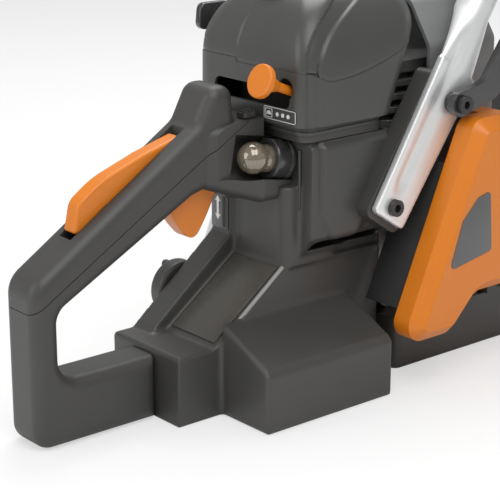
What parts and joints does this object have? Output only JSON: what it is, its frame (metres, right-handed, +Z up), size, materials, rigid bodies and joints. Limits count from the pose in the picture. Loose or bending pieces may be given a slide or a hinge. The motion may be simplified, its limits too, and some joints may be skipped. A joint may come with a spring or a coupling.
{
  "type": "chainsaw",
  "caption": "Petrol chainsaw with a rear handle and trigger, front tube handle, hand guard, bar and chain.",
  "frame": {"origin": "on the ground plane under the base, directly below the crankshaft's axis", "axes": "+X forward along the guide bar, +Y to the operator's left, +Z up"},
  "size_m": [0.8353, 0.2385, 0.312],
  "materials": {
    "black_plastic": "fine moulded grain, satin",
    "guard_black": "glossy black",
    "orange_plastic": "satin orange",
    "grey_plastic": "matte grey",
    "bulb_plastic": "smoky translucent",
    "aluminium": "satin",
    "steel": "ground",
    "dark_steel": "black oxide",
    "rubber": "matte",
    "filter_felt": "felt",
    "rope": "braided"
  },
  "bodies": {
    "saw_body": {"air_filter": "filter_felt", "av_mounts": "rubber", "bar_mount": "aluminium", "bar_nuts": "steel", "bar_studs": "steel", "brake_band": "steel", "carburettor": "aluminium", "chain_catcher": "black_plastic", "clutch_cover": "orange_plastic", "crankcase_left": "aluminium", "crankcase_right": "aluminium", "cylinder": "aluminium", "cylinder_shroud": "grey_plastic", "engine_base": "black_plastic", "filter_base": "black_plastic", "filter_cover": "black_plastic", "front_handle": "aluminium", "grip_cover": "black_plastic", "guide_bar": "steel", "handle_bracket": "black_plastic", "handle_screws": "dark_steel", "ignition_coil": "dark_steel", "intake_boot": "rubber", "lever_pins": "steel", "main_bearings": "steel", "muffler": "dark_steel", "oil_pump": "steel", "plug_boot": "rubber", "primer_collar": "black_plastic", "rear_handle": "black_plastic", "recoil_spring": "steel", "saw_chain": "steel", "spark_plug": "steel", "spike_bumper": "steel", "starter_housing": "orange_plastic", "tank_housing": "black_plastic"},
    "crank_train": {"crankshaft": "steel", "flywheel": "aluminium", "clutch_hub": "steel", "clutch_shoes": "steel", "clutch_spring": "steel"},
    "piston_group": {"piston": "aluminium", "piston_rings": "steel", "wrist_pin": "steel", "connecting_rod": "steel", "crank_pin": "steel"},
    "clutch_drum": {"clutch_drum": "steel", "rim_sprocket": "steel"},
    "throttle_trigger": {"throttle_trigger": "orange_plastic"},
    "throttle_lock": {"throttle_lock": "orange_plastic"},
    "choke_knob": {"choke_knob": "orange_plastic"},
    "primer_bulb": {"primer_bulb": "bulb_plastic"},
    "stop_switch": {"stop_switch": "black_plastic"},
    "hand_guard": {"hand_guard": "guard_black"},
    "starter_grip": {"starter_grip": "black_plastic", "starter_rope": "rope"},
    "starter_pulley": {"starter_pulley": "grey_plastic"},
    "fuel_cap": {"fuel_cap": "black_plastic"},
    "oil_cap": {"oil_cap": "black_plastic"},
    "cover_knob": {"cover_knob": "black_plastic"}
  },
  "joints": [
    {"name": "crank_spin", "type": "hinge", "parent": "saw_body", "child": "crank_train", "pos_m": [0, 0, 0.098], "axis": [0, 1, 0], "continuous": true},
    {"name": "piston_stroke", "type": "slide", "parent": "saw_body", "child": "piston_group", "axis": [0, 0, 1], "range_m": [-0.032, 0]},
    {"name": "drum_spin", "type": "hinge", "parent": "saw_body", "child": "clutch_drum", "pos_m": [0, -0.06, 0.098], "axis": [0, 1, 0], "continuous": true},
    {"name": "trigger_pull", "type": "hinge", "parent": "saw_body", "child": "throttle_trigger", "pos_m": [-0.173, -0.01, 0.152], "axis": [0, 1, 0], "range_deg": [0, 14], "stiffness_Nm_per_rad": 0.4, "springref_deg": -17.19},
    {"name": "lock_press", "type": "hinge", "parent": "saw_body", "child": "throttle_lock", "pos_m": [-0.206, -0.01, 0.1665], "axis": [0, -1, 0], "range_deg": [0, 7], "stiffness_Nm_per_rad": 0.3, "springref_deg": -17.19},
    {"name": "choke_slide", "type": "slide", "parent": "saw_body", "child": "choke_knob", "axis": [-0.9336, 0, 0.3584], "range_m": [-0.009, 0]},
    {"name": "primer_press", "type": "slide", "parent": "saw_body", "child": "primer_bulb", "axis": [-0.9848, 0, 0.1736], "range_m": [-0.003, 0], "stiffness_N_per_m": 800},
    {"name": "stop_slide", "type": "slide", "parent": "saw_body", "child": "stop_switch", "axis": [1, 0, 0], "range_m": [-0.004, 0]},
    {"name": "guard_tilt", "type": "hinge", "parent": "saw_body", "child": "hand_guard", "pos_m": [-0.021, 0, 0.188], "axis": [0, 1, 0], "range_deg": [0, 12]},
    {"name": "starter_pull", "type": "slide", "parent": "saw_body", "child": "starter_grip", "axis": [0, 0, 1], "range_m": [0, 0.6], "deforming": ["starter_rope"]},
    {"name": "pulley_spin", "type": "hinge", "parent": "saw_body", "child": "starter_pulley", "pos_m": [0, 0.076, 0.098], "axis": [0, 1, 0], "range_deg": [0, 1300]},
    {"name": "fuel_cap_turn", "type": "hinge", "parent": "saw_body", "child": "fuel_cap", "pos_m": [-0.166, 0.022, 0.062], "axis": [0, 1, 0], "range_deg": [0, 90]},
    {"name": "oil_cap_turn", "type": "hinge", "parent": "saw_body", "child": "oil_cap", "pos_m": [0.102, 0.034, 0.019], "axis": [1, 0, 0], "range_deg": [0, 90]},
    {"name": "cover_knob_turn", "type": "hinge", "parent": "saw_body", "child": "cover_knob", "pos_m": [-0.108, -0.006, 0.26], "axis": [0, 0, 1], "range_deg": [0, 90]}
  ],
  "couplings": [
    {"joint": "pulley_spin", "follows": "starter_pull", "rad_per_m": 35.088}
  ]
}
